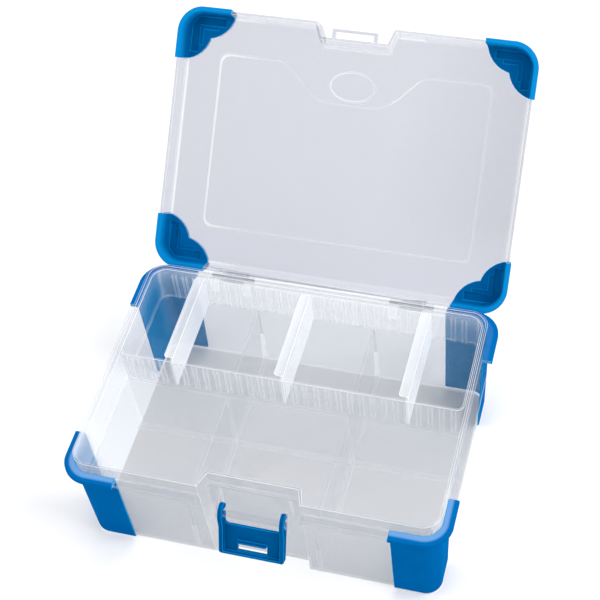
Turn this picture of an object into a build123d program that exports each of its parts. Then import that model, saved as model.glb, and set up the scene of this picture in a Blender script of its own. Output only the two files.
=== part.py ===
from build123d import *
import os
import math

# Tackle box with hinged lid, swing latch, lift-out tray and tray dividers.
# Millimetres, +Z up, X across the box, -Y is the latch side (front).
# Origin: centre of the flat underside of the base.
# The lid is modelled closed and then turned open about its hinge axis; the
# latch is modelled upright and then turned down about its pivot.

# ---------------------------------------------------------- shared dimensions
# A plan is a rounded rectangle: (half width, half depth, corner radius).
FOOT = (125.0, 87.0, 10.0)           # outside of the wall at z = 0
WALL_TOP = (127.6, 90.6, 13.0)       # outside of the wall at the flange
FLANGE = (133.5, 96.8, 18.0)
FOOT_X, FOOT_Y, FOOT_CORNER = FOOT
TOP_X, TOP_Y, _ = WALL_TOP
FLANGE_TOP, FLANGE_T = 83.35, 2.5
FLANGE_Z = FLANGE_TOP - FLANGE_T     # underside of the flange
FOOT_ROUND = 4.0                     # round along the bottom edge
BAY_Y = -79.2                        # outer face of the latch bay's rear wall

# wall foot carried down along its draft to a plane below the base
BELOW_Z = -3.0
FOOT_BELOW = (FOOT_X - 0.0936, FOOT_Y - 0.1296, FOOT_CORNER - 0.108)

# corner guards
GUARD_T = 1.5
GUARD_RIM = (FLANGE[0] + GUARD_T, FLANGE[1] + GUARD_T, FLANGE[2] + GUARD_T)
ARM_X = 94.8                         # base guards start at this |x|
ARM_Y = {-1: 59.4, 1: 56.2}          # and at this |y|, front / back
GAP = 0.06                           # clearance between guard and shell
CORNERS = {"front_left": (-1, -1), "front_right": (1, -1),
           "back_left": (-1, 1), "back_right": (1, 1)}

# lid
LID_Z, LID_TOP = 83.55, 99.6         # underside of the rim, top of the panel
LID_RIM = FLANGE
LID_CROWN = (131.0, 94.3, 16.0)
LID_WALL, LID_PANEL = 2.1, 1.9
LID_INNER_TOP = LID_TOP - LID_PANEL
LID_OPEN = 133.9                     # degrees

# hinge: axis along X, one hinge at each of x = -HINGE_X and +HINGE_X
HINGE_X, HINGE_Y, HINGE_Z = 68.0, 98.9, 77.6
KNUCKLE_R, PIN_R, BORE_CLEARANCE = 3.6, 1.5, 0.05
KNUCKLE_IN, KNUCKLE_OUT = 8.6, 16.0  # span of an outer knuckle from the centre
PIN_HALF, PIN_CHAMFER = 16.6, 0.3

# latch pivot and the catch loop it snaps over
PIVOT_Y, PIVOT_Z = -90.8, 64.8
LOOP_Z0, LOOP_Z1 = 83.8, 86.4


# ------------------------------------------------------------------- helpers
def grown(plan, amount):
    """Plan with its half sizes and corner radius all enlarged by amount."""
    return tuple(size + amount for size in plan)


def rounded(z, half_x, half_y, radius):
    return Plane.XY.offset(z) * RectangleRounded(2 * half_x, 2 * half_y, radius)


def slab(z, plan, height):
    return extrude(rounded(z, *plan), height)


def taper(z0, plan0, z1, plan1):
    """Drafted block between two plans."""
    return loft([rounded(z0, *plan0), rounded(z1, *plan1)])


def block(x0, x1, y0, y1, z0, z1):
    centre = Pos((x0 + x1) / 2, (y0 + y1) / 2, (z0 + z1) / 2)
    return centre * Box(x1 - x0, y1 - y0, z1 - z0)


def extrude_yz(face, x0, x1):
    return extrude(Pos(x0, 0, 0) * face, amount=x1 - x0, dir=(1, 0, 0))


def prism_x(points, x0, x1):
    """Prism of a (y, z) polygon between two x stations."""
    return extrude_yz(Plane.YZ * make_face(Polyline(*points, close=True)), x0, x1)


def prism_y(points, y0, y1):
    """Prism of an (x, z) polygon between two y stations."""
    face = make_face(Polyline(*[(x, y0, z) for x, z in points], close=True))
    return extrude(face, amount=y1 - y0, dir=(0, 1, 0))


def prism_z(points, z0, z1):
    """Prism of an (x, y) polygon between two z stations."""
    face = make_face(Polyline(*[(x, y, z0) for x, y in points], close=True))
    return extrude(face, amount=z1 - z0, dir=(0, 0, 1))


def rod_x(x0, x1, y, z, radius):
    return Pos((x0 + x1) / 2, y, z) * Rot(0, 90, 0) * Cylinder(radius, x1 - x0)


def both_sides(inner, outer):
    """The (x0, x1) spans between two distances from x = 0, left then right."""
    return (-outer, -inner), (inner, outer)


def level_edges(shape, z):
    """Horizontal edges lying at height z."""
    return [e for e in shape.edges()
            if abs(e.center().Z - z) < 1e-3 and e.bounding_box().size.Z < 1e-3]


def tall_edges(shape, length):
    return [e for e in shape.edges() if e.bounding_box().size.Z > length]


def largest(shape):
    return max(shape.solids(), key=lambda solid: solid.volume)


def corner_arcs(half_x, front, back, front_r, back_r, mid_share, z):
    """Arc points (start, mid, end) of the four corners, from front left round
    by front right. mid_share places the middle point, as a share of the radius."""
    arcs = []
    for side, y, inward, r in ((-1, front, 1, front_r), (1, front, 1, front_r),
                               (1, back, -1, back_r), (-1, back, -1, back_r)):
        on_side = (side * half_x, y + inward * r, z)
        on_end = (side * (half_x - r), y, z)
        mid = (side * (half_x - mid_share * r), y + inward * mid_share * r, z)
        if side * inward < 0:
            arcs.append((on_side, mid, on_end))
        else:
            arcs.append((on_end, mid, on_side))
    return arcs


# ---------------------------------------------------------------- base shell
WALL, FLOOR = 1.8, 2.2
TOP_WALL = 1.6                       # wall thickness at the collar
FLOOR_ROUND = 2.2
COLLAR_TOP = 93.0
CAVITY_TOP = COLLAR_TOP + 1
LEDGE_Z, LEDGE_W = 60.4, 1.4         # shelf on the side walls that carries the tray

BAY_HALF_IN, BAY_HALF_OUT = 31.5, 35.2
BAY_MOUTH_Y = -89.6                  # where the bay's slanted sides end

# fixed walls inside the base
CROSS_WALL_Y = 5.2
LONG_WALLS_X = (-47.2, 42.2)
WALL_ROOT_Z = 1.5                    # inner walls start inside the floor
WALL_SINK = 0.6                      # inner walls stop this far inside the foot plan

LUG_IN, LUG_OUT, LUG_R = 23.6, 25.4, 3.5
BAR_R = 2.42


def bay_block(grow, corner_r):
    """Latch bay as a tall block, its sides and rear moved out by grow."""
    outer_x, inner_x = BAY_HALF_OUT + grow, BAY_HALF_IN + grow
    body = prism_z([(-outer_x, -110), (outer_x, -110), (outer_x, BAY_MOUTH_Y),
                    (inner_x, BAY_Y + grow), (-inner_x, BAY_Y + grow),
                    (-outer_x, BAY_MOUTH_Y)], -1, 110)
    return fillet([e for e in tall_edges(body, 50) if e.center().Y > -85], corner_r)


def base_cavities():
    """Lower cavity, narrowed by the tray ledge, and the full upper cavity."""
    bottom, top = grown(FOOT, -WALL), grown(WALL_TOP, -TOP_WALL)
    share = (LEDGE_Z - FLOOR) / (CAVITY_TOP - FLOOR)
    ledge_x = bottom[0] + (top[0] - bottom[0]) * share
    ledge_y = bottom[1] + (top[1] - bottom[1]) * share
    low = taper(FLOOR, (bottom[0] - LEDGE_W, bottom[1], bottom[2]),
                LEDGE_Z + 0.01, (ledge_x - LEDGE_W, ledge_y, FOOT_CORNER))
    low = fillet(level_edges(low, FLOOR), FLOOR_ROUND)
    high = taper(LEDGE_Z, (ledge_x, ledge_y, FOOT_CORNER), CAVITY_TOP, top)
    return low, high


def base_knuckle(x0, x1):
    """Knuckle with the web that joins it to the flange and rear wall."""
    wall_y = TOP_Y - 1.4
    web = prism_x([(wall_y, FLANGE_Z + 0.3), (HINGE_Y, FLANGE_Z + 0.35),
                   (HINGE_Y, HINGE_Z - KNUCKLE_R),
                   (wall_y, HINGE_Z - KNUCKLE_R - 5.0)], x0, x1)
    return rod_x(x0, x1, HINGE_Y, HINGE_Z, KNUCKLE_R) + web


def guard_mask(side_x, side_y, clearance, z0):
    """Block over one corner, reaching inwards to the ends of the guard arms."""
    x0, x1 = sorted((side_x * (ARM_X - clearance), side_x * 150.0))
    y0, y1 = sorted((side_y * (ARM_Y[side_y] - clearance), side_y * 120.0))
    return block(x0, x1, y0, y1, z0, FLANGE_TOP + 1)


def make_base():
    outer = taper(0, FOOT, FLANGE_TOP, WALL_TOP)
    outer = fillet(level_edges(outer, 0), FOOT_ROUND)
    collar = slab(FLANGE_TOP, WALL_TOP, COLLAR_TOP - FLANGE_TOP)
    flange = slab(FLANGE_Z, FLANGE, FLANGE_T)
    low, high = base_cavities()
    bay_cut = bay_block(0.0, 2.0)
    bay_wall = bay_block(WALL, 3.0)

    base = outer + collar + flange
    base = base - (low - bay_wall) - (high - bay_wall)
    base = base - bay_cut
    # narrow rim that carries the flange round the back of the bay
    rim_half = BAY_HALF_IN + 1
    base = base + block(-rim_half, rim_half, BAY_Y - 2.6, BAY_Y + 0.4,
                        FLANGE_Z, FLANGE_TOP)

    # fixed walls: one across, two front to back, all with draft up to the ledge
    y = CROSS_WALL_Y
    base = base + prism_x([(y - 2.7, WALL_ROOT_Z), (y + 2.5, WALL_ROOT_Z),
                           (y + 1.0, LEDGE_Z), (y - 1.0, LEDGE_Z)],
                          -FOOT_X + WALL_SINK, FOOT_X - WALL_SINK)
    for x in LONG_WALLS_X:
        base = base + prism_y([(x - 1.8, WALL_ROOT_Z), (x + 1.8, WALL_ROOT_Z),
                               (x + 0.9, LEDGE_Z), (x - 0.9, LEDGE_Z)],
                              -FOOT_Y + WALL_SINK, FOOT_Y - WALL_SINK)

    # latch pivot: a bar between two lugs in the bay
    for x0, x1 in both_sides(LUG_IN, LUG_OUT):
        base = base + prism_x([(BAY_Y + 0.6, PIVOT_Z - 7.0), (PIVOT_Y, PIVOT_Z - LUG_R),
                               (PIVOT_Y, PIVOT_Z + LUG_R),
                               (PIVOT_Y + 4.5, PIVOT_Z + 8.5),
                               (BAY_Y + 0.6, PIVOT_Z + 12.0)], x0, x1)
        base = base + rod_x(x0, x1, PIVOT_Y, PIVOT_Z, LUG_R)
    base = base + rod_x(-LUG_IN - 1, LUG_IN + 1, PIVOT_Y, PIVOT_Z, BAR_R)

    for side in (-1, 1):
        centre = side * HINGE_X
        for a, b in ((KNUCKLE_IN, KNUCKLE_OUT), (-KNUCKLE_OUT, -KNUCKLE_IN)):
            base = base + base_knuckle(centre + a, centre + b)
        base = base - rod_x(centre - 20, centre + 20, HINGE_Y, HINGE_Z, PIN_R)

    # cut the flange away where the guards sit
    band_x, band_y, band_r = GUARD_RIM
    band = slab(FLANGE_Z - 1.2, (band_x + 1, band_y + 1, band_r), FLANGE_T + 1.2)
    band = band - taper(BELOW_Z, FOOT_BELOW, FLANGE_TOP, WALL_TOP)
    for side_x, side_y in CORNERS.values():
        base = base - (band & guard_mask(side_x, side_y, GAP, -1))
    return largest(base)


# --------------------------------------------------------------- base guards
def make_base_guards():
    """Skin over the wall corners, with a band wrapped round the flange."""
    skin = taper(0, grown(FOOT, GUARD_T), FLANGE_TOP, grown(WALL_TOP, GUARD_T))
    skin = fillet(level_edges(skin, 0), FOOT_ROUND + 0.6)
    skin = skin - taper(BELOW_Z, grown(FOOT_BELOW, GAP), FLANGE_TOP, grown(WALL_TOP, GAP))
    band = slab(FLANGE_Z - 0.9, GUARD_RIM, FLANGE_T + 0.95)
    band = band - slab(FLANGE_Z - 3, grown(WALL_TOP, GAP), 8)
    # round only the outer one of the band's two top outlines
    band = fillet([e for e in level_edges(band, FLANGE_TOP + 0.05)
                   if abs(e.center().X) > TOP_X + 3 or abs(e.center().Y) > TOP_Y + 3],
                  0.8)
    ring = skin + band
    return {name: largest(ring & guard_mask(side_x, side_y, 0.0, -1))
            for name, (side_x, side_y) in CORNERS.items()}


# ---------------------------------------------------------------------- lid
EMBOSS = 0.9                         # height of the raised field and oval
OVAL_Y, OVAL_RADII, OVAL_WALL = -52.3, (17.7, 11.3), 1.1
LOOP_HALF, LOOP_W = 17.2, 3.2
LOOP_Y0, LOOP_Y1 = -92.9, -90.3


def make_lid_cavity():
    """Inside of the lid, before the notch is taken into account."""
    rim_x, rim_y, rim_r = grown(LID_RIM, -LID_WALL)
    cavity = taper(LID_Z - 1, (rim_x + 0.15, rim_y + 0.15, rim_r),
                   LID_INNER_TOP, grown(LID_CROWN, -LID_WALL))
    return fillet(level_edges(cavity, LID_INNER_TOP), 2.2)


def notch(grow):
    """Latch notch in the lid's front, enlarged by grow."""
    mouth, throat, rear = 29.0 + grow, 24.6 + grow, 24.0 + grow
    plan = prism_z([(-mouth, -120), (mouth, -120), (mouth, -97.0),
                    (throat, -86.0 + grow), (rear, -70.0), (-rear, -70.0),
                    (-throat, -86.0 + grow), (-mouth, -97.0)], 70, 110)
    profile = prism_x([(-120, 70), (-86.0 + grow, 70), (-86.0 + grow, LID_Z),
                       (-83.0 + grow, 94.0),
                       (-78.4 + grow, LID_TOP + 0.4 - grow * 0.4),
                       (-78.4 + grow, 110), (-120, 110)], -60, 60)
    return plan & profile


def field_outline(inset, z):
    """Raised field on the panel, its front edge dipping in at the middle."""
    front = -67.0 + inset
    front_left, front_right, back_right, back_left = corner_arcs(
        104.5 - inset, front, 66.0 - inset, 7.0, 7.0, 0.293, z)
    # (half width, y) down the dip, from the front edge to its flat bottom
    dip = [(62.0, front), (44.0, -58.5 + inset), (33.0, -47.5 + inset),
           (10.0, -39.5 + inset)]
    left = [(-x, y, z) for x, y in dip]
    right = [(x, y, z) for x, y in reversed(dip)]
    level = [(1, 0, 0), (1, 0, 0)]
    return make_face(Wire([
        Line(back_left[2], front_left[0]), ThreePointArc(*front_left),
        Line(front_left[2], left[0]), Spline(*left, tangents=level),
        Line(left[-1], right[0]), Spline(*right, tangents=level),
        Line(right[-1], front_right[0]), ThreePointArc(*front_right),
        Line(front_right[2], back_right[0]), ThreePointArc(*back_right),
        Line(back_right[2], back_left[0]), ThreePointArc(*back_left)]))


def field_block(inset, z):
    """Raised field from 0.2 below z up to the emboss height, with draft."""
    return loft([field_outline(inset, z - 0.2),
                 field_outline(inset + 1.6, z + EMBOSS)], ruled=True)


def oval(shrink, z, sink):
    radius_x, radius_y = OVAL_RADII
    return Pos(0, OVAL_Y, z - sink) * extrude(
        Ellipse(radius_x - shrink, radius_y - shrink), sink + EMBOSS)


def catch_loop():
    loop = block(-LOOP_HALF, LOOP_HALF, LOOP_Y0, LOOP_Y1, LOOP_Z0, LOOP_Z1)
    loop = fillet([e for e in tall_edges(loop, 1)
                   if e.center().Y < (LOOP_Y0 + LOOP_Y1) / 2], 0.8)
    for x0, x1 in both_sides(LOOP_HALF - LOOP_W, LOOP_HALF):
        loop = loop + block(x0, x1, LOOP_Y1 - 0.5, -83.9, LOOP_Z0, LOOP_Z1)
    return loop


def lid_knuckle(centre):
    """Middle knuckle of a hinge with the web that climbs to the lid wall."""
    x0 = centre - KNUCKLE_IN + 0.3
    x1 = centre + KNUCKLE_IN - 0.3
    web_y = HINGE_Y + KNUCKLE_R - 1.1
    knuckle = rod_x(x0, x1, HINGE_Y, HINGE_Z, KNUCKLE_R)
    knuckle = knuckle + prism_x([(97.25, HINGE_Z), (web_y, HINGE_Z), (web_y, 87.0),
                                 (96.6, 92.5), (95.3, 92.5), (96.2, LID_Z + 0.35),
                                 (97.25, LID_Z + 0.35)], x0, x1)
    return knuckle - rod_x(x0 - 1, x1 + 1, HINGE_Y, HINGE_Z, PIN_R + BORE_CLEARANCE)


def from_corner(side_x, side_y, a, b):
    """Point a and b inwards in x and y from the guard's reference corner."""
    return side_x * (135.0 - a), side_y * (98.0 - b)


def lobes(side_x, side_y, grow):
    """Tall corner block bounded on the panel by a two-lobed curve."""
    def point(a, b):
        return (*from_corner(side_x, side_y, a, b), 70)

    arm_a, arm_b = 40.2 + grow, 39.2 + grow
    cusp = 22.2 + grow * 0.7
    near, far = grow * 0.6, grow * 0.8
    lobe_a = ThreePointArc(point(arm_a, 3.0), point(35.4 + far, 14.2 + near),
                           point(cusp, cusp))
    lobe_b = ThreePointArc(point(cusp, cusp), point(14.2 + near, 34.6 + far),
                           point(3.0, arm_b))
    outside = Polyline(point(3.0, arm_b), point(-12, arm_b), point(-12, -12),
                       point(arm_a, -12), point(arm_a, 3.0))
    face = make_face(Wire([lobe_a, lobe_b] + list(outside.edges())))
    return extrude(face, amount=40, dir=(0, 0, 1))


def make_lid(cavity):
    outer = taper(LID_Z, LID_RIM, LID_TOP, LID_CROWN)
    outer = fillet(level_edges(outer, LID_TOP), 3.6)
    lid = outer - (cavity - notch(LID_WALL)) - notch(0.0)
    lid = lid + field_block(-0.3, LID_TOP)
    lid = lid - field_block(0.9, LID_INNER_TOP)
    lid = lid + oval(0.0, LID_TOP, 0.2) - oval(OVAL_WALL, LID_INNER_TOP, 0.5)
    lid = lid + catch_loop()
    for side in (-1, 1):
        lid = lid + lid_knuckle(side * HINGE_X)
    for side_x, side_y in CORNERS.values():
        lid = lid - lobes(side_x, side_y, GAP)
    return largest(lid)


# ---------------------------------------------------------------- lid guards
GUARD_TOP = LID_TOP + 1.3
RELIEF_Z = LID_INNER_TOP - 3.0
# L-shaped steps inside the guard: (near edge, far end, inner edge, height
# above the lid's inner top), the first three measured from the corner
RELIEF_STEPS = ((6.5, 33.0, 12.9, 1.6), (12.9, 27.5, 16.0, 0.8))


def make_lid_guards(cavity):
    skin = taper(LID_Z, GUARD_RIM, GUARD_TOP, grown(LID_CROWN, GUARD_T))
    skin = fillet(level_edges(skin, GUARD_TOP), 4.6) - cavity
    # the relief stays this far inside the rounded outer corner
    wall_keep = slab(LID_Z, grown(LID_CROWN, GUARD_T - 2.3), 20)
    guards = {}
    for name, (side_x, side_y) in CORNERS.items():
        guard = skin & lobes(side_x, side_y, 0.0)
        for near, far, inner, rise in RELIEF_STEPS:
            corner_l = [(near, near), (far, near), (far, inner),
                        (inner, inner), (inner, far), (near, far)]
            step = prism_z([from_corner(side_x, side_y, a, b) for a, b in corner_l],
                           RELIEF_Z, LID_INNER_TOP + rise)
            guard = guard - (step & wall_keep)
        guards[name] = largest(guard)
    return guards


def opened(shape):
    return shape.rotate(Axis((0, HINGE_Y, HINGE_Z), (1, 0, 0)), -LID_OPEN)


# --------------------------------------------------------------------- latch
EAR_IN, EAR_OUT, EAR_BORE = 20.0, 23.2, 2.5
LATCH_LENGTH = 33.4                  # from the pivot to the free end
LATCH_OPEN = 155.8                   # degrees
LATCH_ROUND = 2.2
PANEL_RISE = 9.9                     # panel starts this far above the pivot
PANEL_IN, PANEL_OUT = -2.5, -4.6     # panel faces in y from the pivot, box side first
PANEL_HALF = EAR_OUT - 1.5
SNAP_HALF = 2.1                      # half height of the snap opening
SLOT_HALF, SLOT_TOP = 10.3, 95.1
NIB_Z = LOOP_Z1 + 0.2
NIB_TOP = NIB_Z + 1.8

# ear profile, (y, z) from the pivot: curve round the pivot, then the
# straight sides to the free end
EAR_CURVE = [(PANEL_OUT, 10.0), (-5.6, 5.0), (-6.2, 0), (-4.4, -5.2), (-0.6, -7.1),
             (3.4, -4.9), (5.0, 0), (4.0, 5.4), (1.6, 12.0)]
EAR_STRAIGHTS = [(1.6, 12.0), (0.6, LATCH_LENGTH - 1.0), (-0.4, LATCH_LENGTH),
                 (PANEL_OUT, LATCH_LENGTH), (PANEL_OUT, 10.0)]


def from_pivot(points):
    return [(PIVOT_Y + y, PIVOT_Z + z) for y, z in points]


def make_latch():
    curve = Spline(*from_pivot(EAR_CURVE), tangents=[(0, -1), (-0.2, 1)])
    straights = Polyline(*from_pivot(EAR_STRAIGHTS))
    ear = Plane.YZ * make_face(Wire(list(curve.edges()) + list(straights.edges())))
    left_ear, right_ear = [extrude_yz(ear, x0, x1)
                           for x0, x1 in both_sides(EAR_IN, EAR_OUT)]
    latch = left_ear + right_ear

    y_in, y_out = PIVOT_Y + PANEL_IN, PIVOT_Y + PANEL_OUT
    panel_z, end_z = PIVOT_Z + PANEL_RISE, PIVOT_Z + LATCH_LENGTH
    latch = latch + prism_x([(y_in, panel_z), (y_in, end_z), (y_out, end_z),
                             (y_out, panel_z)], -PANEL_HALF, PANEL_HALF)
    # gussets between the ears and the panel's lower edge
    for side in (-1, 1):
        x_ear, x_tip = side * (EAR_IN + 0.5), side * (EAR_IN - 2.6)
        latch = latch + prism_y([(x_ear, panel_z - 2.6), (x_ear, panel_z + 0.5),
                                 (x_tip, panel_z + 0.5), (x_tip, panel_z),
                                 (side * (EAR_IN - 1.0), panel_z - 0.9)], y_out, y_in)
    # lip along the free end, and the nib that snaps over the loop
    latch = latch + block(-PANEL_HALF, PANEL_HALF, y_out, PIVOT_Y + 0.2,
                          end_z - 1.8, end_z)
    latch = latch + prism_x([(y_in - 0.2, NIB_Z), (-90.0, NIB_Z), (-89.6, NIB_Z + 0.5),
                             (-90.6, NIB_Z + 1.4), (y_in - 0.2, NIB_TOP)],
                            -SLOT_HALF, SLOT_HALF)
    # window in the panel above the nib
    latch = latch - block(-SLOT_HALF, SLOT_HALF, y_out - 2, y_in + 0.4,
                          NIB_TOP, SLOT_TOP)
    # outer corners of the free end
    latch = fillet([e for e in level_edges(latch, end_z)
                    if e.bounding_box().size.Y > 1.5
                    and e.bounding_box().size.X < 1e-3
                    and abs(abs(e.center().X) - EAR_OUT) < 1e-3], LATCH_ROUND)
    # pivot bores with a snap opening
    for x0, x1 in both_sides(EAR_IN - 1, EAR_OUT + 1):
        latch = latch - rod_x(x0, x1, PIVOT_Y, PIVOT_Z, EAR_BORE)
        latch = latch - block(x0, x1, PIVOT_Y - 9.0, PIVOT_Y,
                              PIVOT_Z - SNAP_HALF, PIVOT_Z + SNAP_HALF)
    return largest(latch).rotate(Axis((0, PIVOT_Y, PIVOT_Z), (1, 0, 0)), LATCH_OPEN)


# ---------------------------------------------------------------------- tray
TRAY_Z, TRAY_TOP = 60.5, 92.0
TRAY_WALL = 1.5
# (half width, front y, back y) at the bottom and at the top
TRAY_FRONT = 4.6
TRAY_FOOT = (123.9, TRAY_FRONT + 0.4, 87.0)
TRAY_MOUTH = (124.9, TRAY_FRONT - 0.2, 88.0)
TRAY_BACK = TRAY_FOOT[2]
# divider slots: pairs of ribs at every pitch along the front and back walls
PITCH = 8.12
RIB_W, RIB_GAP, RIB_DEPTH, RIB_TOP = 1.0, 1.9, 1.3, 87.5
BACK_RIB_LIMIT = 114                 # no back ribs beyond this |x|


def tray_section(z, extents, inset, front_r, back_r):
    """Tray plan: small front corners, rear corners that follow the base."""
    half_x, front, back = extents
    arcs = corner_arcs(half_x - inset, front + inset, back - inset,
                       front_r, back_r, 1 - math.sqrt(0.5), z)
    edges = []
    for arc, following in zip(arcs, arcs[1:] + arcs[:1]):
        edges += [ThreePointArc(*arc), Line(arc[2], following[0])]
    return make_face(Wire(edges))


def make_tray():
    outer = loft([tray_section(TRAY_Z, TRAY_FOOT, 0, 4.5, 11.6),
                  tray_section(TRAY_TOP, TRAY_MOUTH, 0, 5.5, 12.6)])
    inner = loft([tray_section(TRAY_Z + TRAY_WALL, TRAY_FOOT, TRAY_WALL, 3.2, 10.1),
                  tray_section(TRAY_TOP + 0.5, TRAY_MOUTH, TRAY_WALL, 4.0, 11.1)])
    front = (TRAY_FRONT + 0.6, TRAY_FRONT + 0.3 + TRAY_WALL + RIB_DEPTH)
    back = (TRAY_BACK - TRAY_WALL - RIB_DEPTH + 0.2, TRAY_BACK - 0.4)
    ribs = []
    for slot in range(-15, 15):
        x = PITCH * (slot + 0.5)
        rows = (front,) if abs(x) > BACK_RIB_LIMIT else (front, back)
        for a, b in both_sides(RIB_GAP / 2, RIB_GAP / 2 + RIB_W):
            for y0, y1 in rows:
                ribs.append(block(x + a, x + b, y0, y1, TRAY_Z + 0.8, RIB_TOP))
    return largest((outer - inner).fuse(*ribs))


# ------------------------------------------------------------------ dividers
DIVIDER_T = 1.6
DIVIDER_SLOTS = {"left": -10.5, "centre": -0.5, "right": 10.5}   # in pitches
FOLD_W = 5.6
DIVIDER_TOP = TRAY_TOP - 0.4


def make_divider(x):
    """Plate with rounded upper corners, a folded top and a lip under the fold."""
    y0 = TRAY_FRONT + 0.4 + TRAY_WALL + 0.25
    y1 = TRAY_BACK - TRAY_WALL - 0.25
    z0 = TRAY_Z + TRAY_WALL + 0.15
    x0, x1 = x - DIVIDER_T / 2, x + DIVIDER_T / 2
    fold_x = x - FOLD_W - DIVIDER_T / 2
    plate = block(x0, x1, y0, y1, z0, DIVIDER_TOP)
    plate = fillet([e for e in plate.edges() if e.bounding_box().size.X > 1
                    and e.center().Z > TRAY_TOP - 1], 2.2)
    fold = block(fold_x, x1, y0 + 2.0, y1 - 2.0, TRAY_TOP - 1.7, DIVIDER_TOP)
    fold = fillet([e for e in tall_edges(fold, 1) if e.center().X < x - FOLD_W / 2], 2.6)
    lip = block(fold_x, fold_x + 1.0, y0 + 5.0, y1 - 5.0, TRAY_TOP - 3.6, TRAY_TOP - 1.0)
    return largest(plate + fold + lip)


# ---------------------------------------------------------------- hinge pins
def make_pin(centre):
    pin = rod_x(centre - PIN_HALF, centre + PIN_HALF, HINGE_Y, HINGE_Z, PIN_R)
    rims = [e for e in pin.edges() if e.geom_type == GeomType.CIRCLE]
    return chamfer(rims, PIN_CHAMFER)


# -------------------------------------------------------------------- export
lid_cavity = make_lid_cavity()
parts = {
    "base_box": make_base(),
    "lid_shell": opened(make_lid(lid_cavity)),
    "front_latch": make_latch(),
    "lift_out_tray": make_tray(),
    "hinge_pin_left": make_pin(-HINGE_X),
    "hinge_pin_right": make_pin(HINGE_X),
}
for name, slot in DIVIDER_SLOTS.items():
    parts["tray_divider_" + name] = make_divider(PITCH * slot)
for name, guard in make_base_guards().items():
    parts["base_guard_" + name] = guard
for name, guard in make_lid_guards(lid_cavity).items():
    parts["lid_guard_" + name] = opened(guard)

os.makedirs("parts", exist_ok=True)
for name, shape in parts.items():
    export_step(shape, os.path.join("parts", name + ".step"))
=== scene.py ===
"""A clear plastic storage box with a lift-out tray, its dividers, blue corner
guards, a blue front latch and a lid standing open on steel hinge pins.

Metres, +Z up. The box stands on z = 0 with its front towards -Y and its width
along X. The lid is hinged at the back.
"""
import bpy
import math
from fnmatch import fnmatchcase
from mathutils import Matrix, Vector

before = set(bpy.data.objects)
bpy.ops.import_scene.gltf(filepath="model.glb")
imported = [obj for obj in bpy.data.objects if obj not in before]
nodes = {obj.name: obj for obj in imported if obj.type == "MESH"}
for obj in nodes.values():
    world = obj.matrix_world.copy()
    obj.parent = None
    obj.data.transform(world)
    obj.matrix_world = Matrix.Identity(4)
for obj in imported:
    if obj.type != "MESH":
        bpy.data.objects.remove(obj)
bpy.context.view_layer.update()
scene = bpy.context.scene

HINGE = (0.0, 0.0989, 0.0776)
LID_ANGLE = math.radians(133.9)  # how far the lid is swung open
LID_UP = (0.0, math.sin(LID_ANGLE), math.cos(LID_ANGLE))  # the lid's own up
LID_OUT = (0.0, -math.cos(LID_ANGLE), math.sin(LID_ANGLE))  # from the hinge to the lid's front


def srgb(*channels):
    """Linear RGBA from sRGB channels of 0 to 255."""
    def linear(channel):
        channel = channel / 255.0
        return channel / 12.92 if channel <= 0.04045 else ((channel + 0.055) / 1.055) ** 2.4
    return tuple(linear(channel) for channel in channels) + (1.0,)


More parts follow.
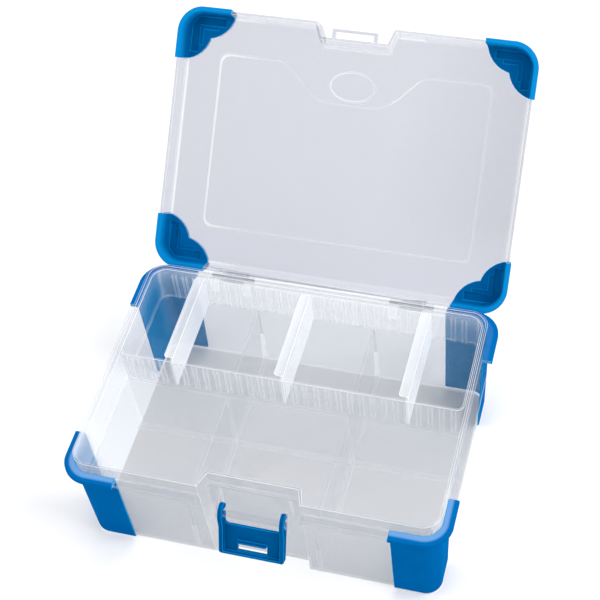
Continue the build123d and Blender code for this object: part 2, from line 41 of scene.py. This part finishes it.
# ------------------------------------------------------------ node building
class Graph:
    """Builds one node material. Every value may be a constant or a socket."""

    def __init__(self, name):
        self.material = bpy.data.materials.new(name)
        self.material.use_nodes = True
        self.tree = self.material.node_tree
        self.tree.nodes.clear()
        self.output = self.node("ShaderNodeOutputMaterial")

    def node(self, kind, inputs=None, **props):
        node = self.tree.nodes.new(kind)
        for key, value in props.items():
            setattr(node, key, value)
        for key, value in (inputs or {}).items():
            if isinstance(value, bpy.types.NodeSocket):
                self.tree.links.new(value, node.inputs[key])
            else:
                node.inputs[key].default_value = value
        return node

    def coord(self):
        return self.node("ShaderNodeTexCoord").outputs["Object"]

    def shifted_coord(self, shift):
        """Object coordinates, moved so that materials do not share a pattern."""
        coord = self.coord()
        if not any(shift):
            return coord
        inputs = {"Vector": coord, "Location": shift}
        return self.node("ShaderNodeMapping", inputs).outputs["Vector"]

    def split(self, vector):
        return self.node("ShaderNodeSeparateXYZ", {0: vector}).outputs

    def own_normal(self):
        """The face normal in the object's own axes."""
        normal = self.node("ShaderNodeNewGeometry").outputs["True Normal"]
        return self.node("ShaderNodeVectorTransform", {0: normal}, vector_type="NORMAL",
                         convert_from="WORLD", convert_to="OBJECT").outputs[0]

    def noise(self, vector, scale, detail=3.0, rough=0.5):
        inputs = {"Vector": vector, "Scale": scale, "Detail": detail, "Roughness": rough}
        return self.node("ShaderNodeTexNoise", inputs).outputs["Fac"]

    def math(self, operation, a, b=0.0, clamp=False):
        return self.node("ShaderNodeMath", {0: a, 1: b},
                         operation=operation, use_clamp=clamp).outputs[0]

    def add(self, a, b):
        return self.math("ADD", a, b)

    def multiply(self, a, b):
        return self.math("MULTIPLY", a, b)

    def absolute(self, value):
        return self.math("ABSOLUTE", value)

    def vector_math(self, operation, a, b):
        return self.node("ShaderNodeVectorMath", {0: a, 1: b}, operation=operation).outputs[0]

    def dot(self, a, b):
        return self.node("ShaderNodeVectorMath", {0: a, 1: b}, operation="DOT_PRODUCT").outputs[1]

    def along_lid(self, direction):
        """Distance from the hinge line along one of the lid's directions."""
        return self.dot(self.vector_math("SUBTRACT", self.coord(), HINGE), direction)

    def ramp(self, value, span, to=(0.0, 1.0)):
        """Maps span onto to, clamped at both ends."""
        inputs = {"Value": value, "From Min": span[0], "From Max": span[1],
                  "To Min": to[0], "To Max": to[1]}
        return self.node("ShaderNodeMapRange", inputs, clamp=True).outputs["Result"]

    def mix_color(self, factor, a, b):
        return self.node("ShaderNodeMix", {0: factor, 6: a, 7: b}, data_type="RGBA").outputs[2]

    def mix_shader(self, factor, a, b):
        return self.node("ShaderNodeMixShader", {0: factor, 1: a, 2: b}).outputs[0]

    def bump(self, height, strength, distance, normal=None):
        inputs = {"Height": height, "Strength": strength, "Distance": distance}
        if normal is not None:
            inputs["Normal"] = normal
        return self.node("ShaderNodeBump", inputs).outputs["Normal"]

    def coat(self, shader, amount, ior, color, roughness, normal):
        """Lays a Fresnel-weighted gloss over a shader."""
        gloss = self.node("ShaderNodeBsdfGlossy",
                          {"Color": color, "Roughness": roughness, "Normal": normal})
        fresnel = self.node("ShaderNodeFresnel", {"IOR": ior})
        return self.mix_shader(self.multiply(fresnel.outputs[0], amount), shader, gloss.outputs[0])

    def finish(self, shader):
        self.tree.links.new(shader, self.output.inputs["Surface"])
        return self.material


# ------------------------------------------------------------ clear plastic
# Colours of the milky haze
MILK = srgb(248, 249, 251)
# Brighter milk on rounded edges: painted highlight
EDGE_HIGHLIGHT_MILK = srgb(252, 253, 255)
# Tints of what is seen through the plastic
SEE = (0.966, 0.968, 0.973, 1.0)
CROSS_WALL = (0.966, 0.968, 0.972, 1.0)
# Painted shade: darker tints for the front and back walls and the bottom
FRONT_WALL_SHADE = (0.820, 0.828, 0.845, 1.0)
BACK_WALL_SHADE = (0.850, 0.856, 0.872, 1.0)
SIDE_WALL = (0.935, 0.946, 0.964, 1.0)
BOTTOM_SHADE = (0.665, 0.665, 0.668, 1.0)
GLANCING = (0.860, 0.872, 0.895, 1.0)
TRAY_SEE = (0.958, 0.961, 0.966, 1.0)
LID_SEE = (0.745, 0.750, 0.790, 1.0)
EDGE_SEE = (0.95, 0.953, 0.96, 1.0)
LID_EDGE_SEE = (0.84, 0.845, 0.87, 1.0)
SHADOW_SEE = (0.990, 0.991, 0.994, 1.0)  # for all but camera rays


# Zone functions take a film's haze and tint, and return both changed by place.
def wall_masks(g):
    """Position, and masks of the walls that face along Y and along X."""
    place = g.split(g.coord())
    normal = g.split(g.own_normal())
    faces_y, faces_x = (g.ramp(g.absolute(normal[axis]), span=(0.55, 0.9)) for axis in "YX")
    return place, faces_y, faces_x


def base_zones(g, haze, see):
    """Tints for the walls, with the front and back walls and the bottom darker as painted shade; a
    frosted front.
    """
    cross_haze, front_frost, side_veil = 0.055, 0.08, 0.42
    bottom_top = 0.0006
    place, faces_y, faces_x = wall_masks(g)
    haze = g.add(haze, g.multiply(faces_y, cross_haze))
    see = g.mix_color(faces_y, see, CROSS_WALL)

    # Painted shade: the front wall's darker tint; its frost is real haze.
    front = g.multiply(faces_y, g.ramp(place["Y"], span=(-0.0764, -0.0770)))
    see = g.mix_color(front, see, FRONT_WALL_SHADE)
    haze = g.add(haze, g.multiply(front, front_frost))

    # Painted shade: the back wall's darker tint.
    back = g.multiply(faces_y, g.ramp(place["Y"], span=(0.0780, 0.0800)))
    see = g.mix_color(back, see, BACK_WALL_SHADE)

    # The side walls are milkier next to the front corners.
    side = g.multiply(faces_x, g.ramp(g.absolute(place["X"]), span=(0.118, 0.119)))
    see = g.mix_color(side, see, SIDE_WALL)
    near_front = g.multiply(side, g.ramp(place["Y"], span=(-0.046, -0.060)))
    haze = g.add(haze, g.multiply(near_front, side_veil))

    # Painted shade: a darker tint at the bottom, under the box.
    low = g.ramp(place["Z"], span=(bottom_top + 0.0008, bottom_top))
    return haze, g.mix_color(low, see, BOTTOM_SHADE)


def tray_zones(g, haze, see):
    """More haze in the tray's cross walls, upper edge and thin guide ribs."""
    cross_haze, upper_haze, rib_haze = 0.07, 0.05, 0.28
    place, faces_y, faces_x = wall_masks(g)
    haze = g.add(haze, g.multiply(faces_y, cross_haze))
    haze = g.add(haze, g.ramp(place["Z"], span=(0.0740, 0.0860), to=(0.0, upper_haze)))
    ribs = g.multiply(faces_x, g.ramp(g.absolute(place["X"]), span=(0.1215, 0.1205)))
    return g.add(haze, g.multiply(ribs, rib_haze)), see


def lid_zones(g, haze, see):
    """Painted highlight: haze on the sloped flanks of the lid's embossing, where they catch light.
    """
    flank_highlight_haze = 0.50
    place = g.split(g.coord())
    upright = g.absolute(g.dot(g.own_normal(), LID_UP))
    flank = g.multiply(g.ramp(upright, span=(0.992, 0.965)), g.ramp(upright, span=(0.3, 0.6)))
    # Lit places, painted as highlight: a short strip at x = 40 mm near the lid's front, and the
    # left end.
    out = g.along_lid(LID_OUT)
    strip = g.ramp(g.absolute(g.math("SUBTRACT", place["X"], 0.040)), span=(0.014, 0.008))
    strip = g.multiply(strip, g.ramp(out, span=(0.136, 0.142)))
    left = g.ramp(place["X"], span=(-0.070, -0.092), to=(0.30, 1.0))
    flank = g.multiply(flank, g.math("MAXIMUM", left, strip))
    return g.add(haze, g.multiply(flank, flank_highlight_haze)), see


def top_rim_highlight(height, amount):
    """Zone function that adds haze above a height: a painted highlight along the top rims."""
    def zones(g, haze, see):
        place = g.split(g.coord())
        top = g.ramp(place["Z"], span=(height, height + 0.001), to=(0.0, amount))
        return g.add(haze, top), see
    return zones


def clear_plastic(name, haze, see, rough, body=MILK, glance=0.05, deep=None, gloss=0.03,
                  zones=None, seed=0.0):
    """Translucent polypropylene: a tinted film with milky haze, flow marks and
    orange peel. glance is the extra haze and deep the tint at glancing angles."""
    g = Graph(name)
    coord = g.shifted_coord((seed, seed * 0.7, seed * 1.3))
    flow = g.noise(coord, scale=9.0, detail=2.0)
    fine = g.noise(coord, scale=700.0, detail=1.0)
    wave = g.noise(coord, scale=26.0, detail=1.0, rough=0.45)
    fine_share = 0.005
    normal = g.bump(g.add(wave, g.multiply(fine, fine_share)), strength=0.05, distance=0.0012)
    facing = g.node("ShaderNodeLayerWeight", {"Blend": 0.5}).outputs["Facing"]
    camera_ray = g.node("ShaderNodeLightPath").outputs["Is Camera Ray"]

    haze_power, deep_power, deep_share, haze_limit = 4.0, 3.0, 0.9, 0.93
    haze = g.add(g.multiply(g.math("POWER", facing, haze_power), glance), haze)
    if deep:
        depth = g.multiply(g.math("POWER", facing, deep_power), deep_share)
        see = g.mix_color(depth, see, deep)
    if zones:
        haze, see = zones(g, haze, see)
    haze = g.multiply(haze, g.ramp(flow, span=(0.3, 0.7), to=(0.9, 1.1)))
    # Light and reflections pass more freely than the camera sees.
    haze = g.multiply(haze, g.ramp(camera_ray, span=(0.0, 1.0), to=(0.4, 1.0)))
    haze = g.math("MINIMUM", haze, haze_limit, clamp=True)

    clear = g.node("ShaderNodeBsdfTransparent",
                   {"Color": g.mix_color(camera_ray, SHADOW_SEE, see)})
    paler = tuple(min(1.0, channel * 1.04) for channel in body[:3]) + (1.0,)
    tone = g.mix_color(g.ramp(flow, span=(0.35, 0.65)), body, paler)
    surface = g.node("ShaderNodeBsdfPrincipled", {
        "Base Color": tone,
        "Roughness": g.ramp(fine, span=(0.3, 0.7), to=(rough + 0.06, rough + 0.14)),
        "Normal": normal,
        "Specular IOR Level": 0.4})
    glow = g.node("ShaderNodeBsdfTranslucent", {"Color": tone})
    milky = g.mix_shader(0.5, surface.outputs[0], glow.outputs[0])
    film = g.mix_shader(haze, clear.outputs[0], milky)
    return g.finish(g.coat(film, amount=gloss, ior=1.42, color=(1, 1, 1, 1),
                           roughness=rough * 0.9, normal=normal))


def clear_edge_highlight(name, haze, seed, see=EDGE_SEE, glance=0.2, zones=None):
    """The smoother plastic of a rounded edge, made milkier and brighter as a painted highlight;
    the lamps light the milk.
    """
    return clear_plastic(name, haze, see, rough=0.14, body=EDGE_HIGHLIGHT_MILK, glance=glance,
                         zones=zones, seed=seed)


# ------------------------------------------------------------- blue plastic
# Paler blues painted as light: a highlight on the base guards' ledge, light on their inner side
LEDGE_HIGHLIGHT_BLUE = srgb(124, 170, 218)
INNER_PAINTED_LIGHT_BLUE = srgb(20, 131, 184)
# Painted highlight on the lid guards' rims; also the lid guards' scuff colour
LID_RIM_HIGHLIGHT_BLUE = srgb(10, 138, 208)


def base_guard_painted_light(g, color):
    """Paints a highlight on the guards' top ledge, mostly at the front, and painted light on the
    side facing the box.
    """
    half_x, half_y = 0.1155, 0.0788  # rectangle from which the ledge's reach is measured
    place = g.split(g.coord())
    squares = []
    for axis, half in (("X", half_x), ("Y", half_y)):
        past = g.math("SUBTRACT", g.absolute(place[axis]), half)
        past = g.math("MAXIMUM", past, 0.0)
        squares.append(g.multiply(past, past))
    reach = g.math("SQRT", g.add(*squares))
    # Painted highlight: the top ledge paler, mostly at the front.
    ledge = g.multiply(g.ramp(reach, span=(0.0168, 0.0150), to=(0.0, 0.62)),
                       g.ramp(place["Z"], span=(0.0822, 0.0830)))
    ledge = g.multiply(ledge, g.ramp(place["Y"], span=(0.0, -0.05), to=(0.15, 1.0)))
    color = g.mix_color(ledge, color, LEDGE_HIGHLIGHT_BLUE)

    # Painted light: the side facing the box paler.
    normal = g.own_normal()
    level = g.vector_math("MULTIPLY", g.coord(), (1.0, 1.0, 0.0))
    inward_painted_light = g.ramp(g.dot(level, normal), span=(-0.010, -0.030))
    return g.mix_color(inward_painted_light, color, INNER_PAINTED_LIGHT_BLUE)


def lid_guard_painted_highlight(g, color):
    """Paints a highlight on the lid guards towards their rim, low along the lid's own up."""
    # Painted highlight: paler towards the rim.
    rim = g.ramp(g.along_lid(LID_UP), span=(0.0060, 0.0150), to=(0.80, 0.0))
    return g.mix_color(rim, color, LID_RIM_HIGHLIGHT_BLUE)


def blue_plastic(name, dark, mid, light, rough=0.36, sheen=0.10, tint=None, seed=0.0):
    """Moulded polypropylene: fine grain, soft blue sheen, cloudy pigment and a
    few paler scuffs."""
    g = Graph(name)
    coord = g.shifted_coord((seed, -seed, seed * 0.6))
    cloud = g.noise(coord, scale=38.0, detail=4.0, rough=0.6)
    grain = g.noise(coord, scale=1500.0, detail=2.0, rough=0.6)
    speck = g.noise(coord, scale=420.0, detail=3.0, rough=0.65)
    scuff = g.noise(coord, scale=150.0, detail=5.0, rough=0.75)
    color = g.mix_color(g.ramp(cloud, span=(0.3, 0.7)), dark, mid)
    color = g.mix_color(g.ramp(scuff, span=(0.66, 0.78), to=(0.0, 0.30)), color, light)
    # tint paints light onto the guards: highlights on ledges and rims, light on inner sides
    if tint:
        color = tint(g, color)
    normal = g.bump(grain, strength=0.16, distance=0.00012)
    normal = g.bump(cloud, strength=0.05, distance=0.0008, normal=normal)
    surface = g.node("ShaderNodeBsdfPrincipled", {
        "Base Color": color, "Normal": normal, "Roughness": 0.6, "Specular IOR Level": 0.0})
    roughness = g.ramp(speck, span=(0.25, 0.75), to=(rough - 0.05, rough + 0.08))
    return g.finish(g.coat(surface.outputs[0], amount=sheen, ior=1.45,
                           color=(0.02, 0.50, 1.0, 1.0), roughness=roughness, normal=normal))


# -------------------------------------------------------------------- steel
def pin_steel(name):
    """Bright steel with streaks drawn out along X."""
    g = Graph(name)
    coord = g.coord()
    stretched = g.node("ShaderNodeMapping", {"Vector": coord, "Scale": (0.06, 1.0, 1.0)})
    streak = g.noise(stretched.outputs["Vector"], scale=2600.0, detail=3.0, rough=0.6)
    spot = g.noise(coord, scale=300.0, detail=3.0, rough=0.6)
    color = g.mix_color(g.ramp(spot, span=(0.3, 0.7)),
                        (0.50, 0.50, 0.52, 1), (0.66, 0.66, 0.68, 1))
    return g.finish(g.node("ShaderNodeBsdfPrincipled", {
        "Base Color": color,
        "Metallic": 1.0,
        "Roughness": g.ramp(streak, span=(0.3, 0.7), to=(0.22, 0.40)),
        "Normal": g.bump(streak, strength=0.2, distance=0.00005)}).outputs[0])


# ---------------------------------------------------------------- materials
base_clear = clear_plastic("clear_base", haze=0.004, see=SEE, rough=0.22, zones=base_zones)
lid_clear = clear_plastic("clear_lid", haze=0.022, see=LID_SEE, rough=0.24, glance=0.35,
                          gloss=0.10, zones=lid_zones, seed=0.31)
tray_clear = clear_plastic("clear_tray", haze=0.003, see=TRAY_SEE, rough=0.20, deep=GLANCING,
                           zones=tray_zones, seed=0.77)
divider_clear = clear_plastic("clear_divider", haze=0.37, see=SEE, rough=0.18, glance=0.5,
                              deep=GLANCING, gloss=0.06, seed=1.3)
base_edge = clear_edge_highlight("clear_base_edge", haze=0.26, seed=2.1,
                       zones=top_rim_highlight(height=0.0915, amount=0.45))
tray_edge = clear_edge_highlight("clear_tray_edge", haze=0.24, seed=2.3,
                       zones=top_rim_highlight(height=0.0908, amount=0.60))
divider_edge = clear_edge_highlight("clear_divider_edge", haze=0.85, seed=2.8)
lid_edge = clear_edge_highlight("clear_lid_edge", haze=0.40, seed=2.6, see=LID_EDGE_SEE, glance=0.35)
guard_blue = blue_plastic("blue_guard", dark=srgb(0, 90, 156), mid=srgb(0, 98, 166),
                          light=srgb(8, 126, 192), tint=base_guard_painted_light)
lid_guard_blue = blue_plastic("blue_lid_guard", dark=srgb(0, 84, 142), mid=srgb(0, 92, 152),
                              light=LID_RIM_HIGHLIGHT_BLUE, tint=lid_guard_painted_highlight, seed=0.5)
latch_blue = blue_plastic("blue_latch", dark=srgb(0, 78, 136), mid=srgb(0, 86, 146),
                          light=srgb(8, 114, 176), seed=0.9)
# Painted highlight: a paler blue on the rounded edges
blue_edge_highlight = blue_plastic("blue_edge_highlight", dark=srgb(2, 120, 184), mid=srgb(8, 132, 198),
                         light=srgb(50, 160, 218), rough=0.28, sheen=0.3, seed=1.7)
steel = pin_steel("pin_steel")

# ----------------------------------------------------------------- dressing
CLEAR_RADIUS = 0.0003
BLUE_RADIUS = 0.0004
WELD = 1.5e-4
FINE_WELD = 2e-6

# Node name pattern, material, edge material, edge radius, weld distance
FINISHES = (
    ("base_box", base_clear, base_edge, CLEAR_RADIUS, FINE_WELD),
    ("lid_shell", lid_clear, lid_edge, CLEAR_RADIUS, WELD),
    ("lift_out_tray", tray_clear, tray_edge, CLEAR_RADIUS, WELD),
    ("tray_divider*", divider_clear, divider_edge, CLEAR_RADIUS, WELD),
    ("base_guard*", guard_blue, blue_edge_highlight, BLUE_RADIUS, WELD),
    ("lid_guard*", lid_guard_blue, blue_edge_highlight, BLUE_RADIUS, WELD),
    ("front_latch", latch_blue, blue_edge_highlight, BLUE_RADIUS, WELD),
    ("hinge_pin*", steel, None, None, None),
)


def add_modifier(piece, name, kind, **settings):
    modifier = piece.modifiers.new(name, kind)
    for key, value in settings.items():
        setattr(modifier, key, value)


def round_edges(piece, edge, radius, weld):
    """Merges coplanar facets, then rounds every sharp edge in its own material."""
    piece.data.materials.append(edge)
    add_modifier(piece, "weld", "WELD", merge_threshold=weld)
    add_modifier(piece, "facets", "DECIMATE", decimate_type="DISSOLVE",
                 angle_limit=math.radians(5.0))
    add_modifier(piece, "edge_radius", "BEVEL", width=radius, segments=2, limit_method="ANGLE",
                 angle_limit=math.radians(50.0), material=1, use_clamp_overlap=False,
                 miter_outer="MITER_SHARP", harden_normals=True)
    add_modifier(piece, "normals", "WEIGHTED_NORMAL", weight=80)
    for polygon in piece.data.polygons:
        polygon.use_smooth = True


for node_name in nodes:
    for pattern, material, edge, radius, weld in FINISHES:
        if fnmatchcase(node_name, pattern):
            piece = nodes[node_name]
            piece.data.materials.clear()
            piece.data.materials.append(material)
            if edge:
                round_edges(piece, edge, radius, weld)


# -------------------------------------------------------------------- stage
def floor_material():
    """Matt pale grey, with painted shade behind the box on the right."""
    g = Graph("floor")
    coord = g.coord()
    place = g.split(coord)
    pale = g.mix_color(g.noise(coord, scale=3.0), (0.86, 0.86, 0.86, 1), (0.88, 0.88, 0.88, 1))
    # Painted shade: a darker patch behind the box on the right
    behind = g.multiply(g.ramp(place["X"], span=(0.0, 0.14)),
                        g.ramp(place["Y"], span=(0.16, 0.26)))
    return g.finish(g.node("ShaderNodeBsdfPrincipled", {
        "Base Color": g.mix_color(behind, pale, (0.70, 0.70, 0.70, 1)),
        "Roughness": 0.75,
        "Specular IOR Level": 0.2}).outputs[0])


bpy.ops.mesh.primitive_plane_add(size=12.0, location=(0, 0, -0.0004))
floor = bpy.context.object
floor.name = "floor"
floor.data.materials.append(floor_material())

world = bpy.data.worlds.new("studio")
scene.world = world
world.use_nodes = True
background = world.node_tree.nodes["Background"]
background.inputs["Color"].default_value = (1.0, 1.0, 1.0, 1.0)
background.inputs["Strength"].default_value = 0.85

# Name, place, target, size, watts
LIGHTS = (
    ("key", (1.2, 0.0, 1.3), (0, 0, 0.05), (1.0, 1.0), 15.0),
    ("left", (-1.0, -0.4, 1.4), (0, 0, 0.05), (0.9, 0.9), 6.0),
    ("back", (0.1, 1.3, 1.2), (0, 0.1, 0.1), (1.2, 0.7), 7.0),
)
for name, place, target, size, watts in LIGHTS:
    light = bpy.data.lights.new(name, "AREA")
    light.shape = "RECTANGLE"
    light.size, light.size_y = size
    light.energy = watts
    lamp = bpy.data.objects.new(name, light)
    scene.collection.objects.link(lamp)
    lamp.visible_glossy = False  # the plastic reflects the white world, not the lamps
    lamp.location = place
    lamp.rotation_euler = (Vector(target) - Vector(place)).to_track_quat("-Z", "Y").to_euler()

# ------------------------------------------------------------------- camera
CAMERA_PLACE = (0.236619, -0.572289, 0.929743)
# The camera's own axes
CAMERA_RIGHT = (0.962584, 0.258147, -0.082421)
CAMERA_UP = (-0.149552, 0.759703, 0.632839)
CAMERA_BACK = (0.225981, -0.596834, 0.769884)

camera = bpy.data.cameras.new("camera")
camera.sensor_width = 36.0
camera.sensor_fit = "HORIZONTAL"
camera.lens = 90.178
camera.clip_start, camera.clip_end = 0.05, 50.0
camera_object = bpy.data.objects.new("camera", camera)
scene.collection.objects.link(camera_object)
pose = Matrix((CAMERA_RIGHT, CAMERA_UP, CAMERA_BACK)).transposed().to_4x4()
pose.translation = CAMERA_PLACE
camera_object.matrix_world = pose
scene.camera = camera_object

scene.view_settings.view_transform = "Standard"
scene.view_settings.look = "None"
scene.cycles.transparent_max_bounces = 36  # many clear walls lie one behind another
scene.cycles.max_bounces = 9
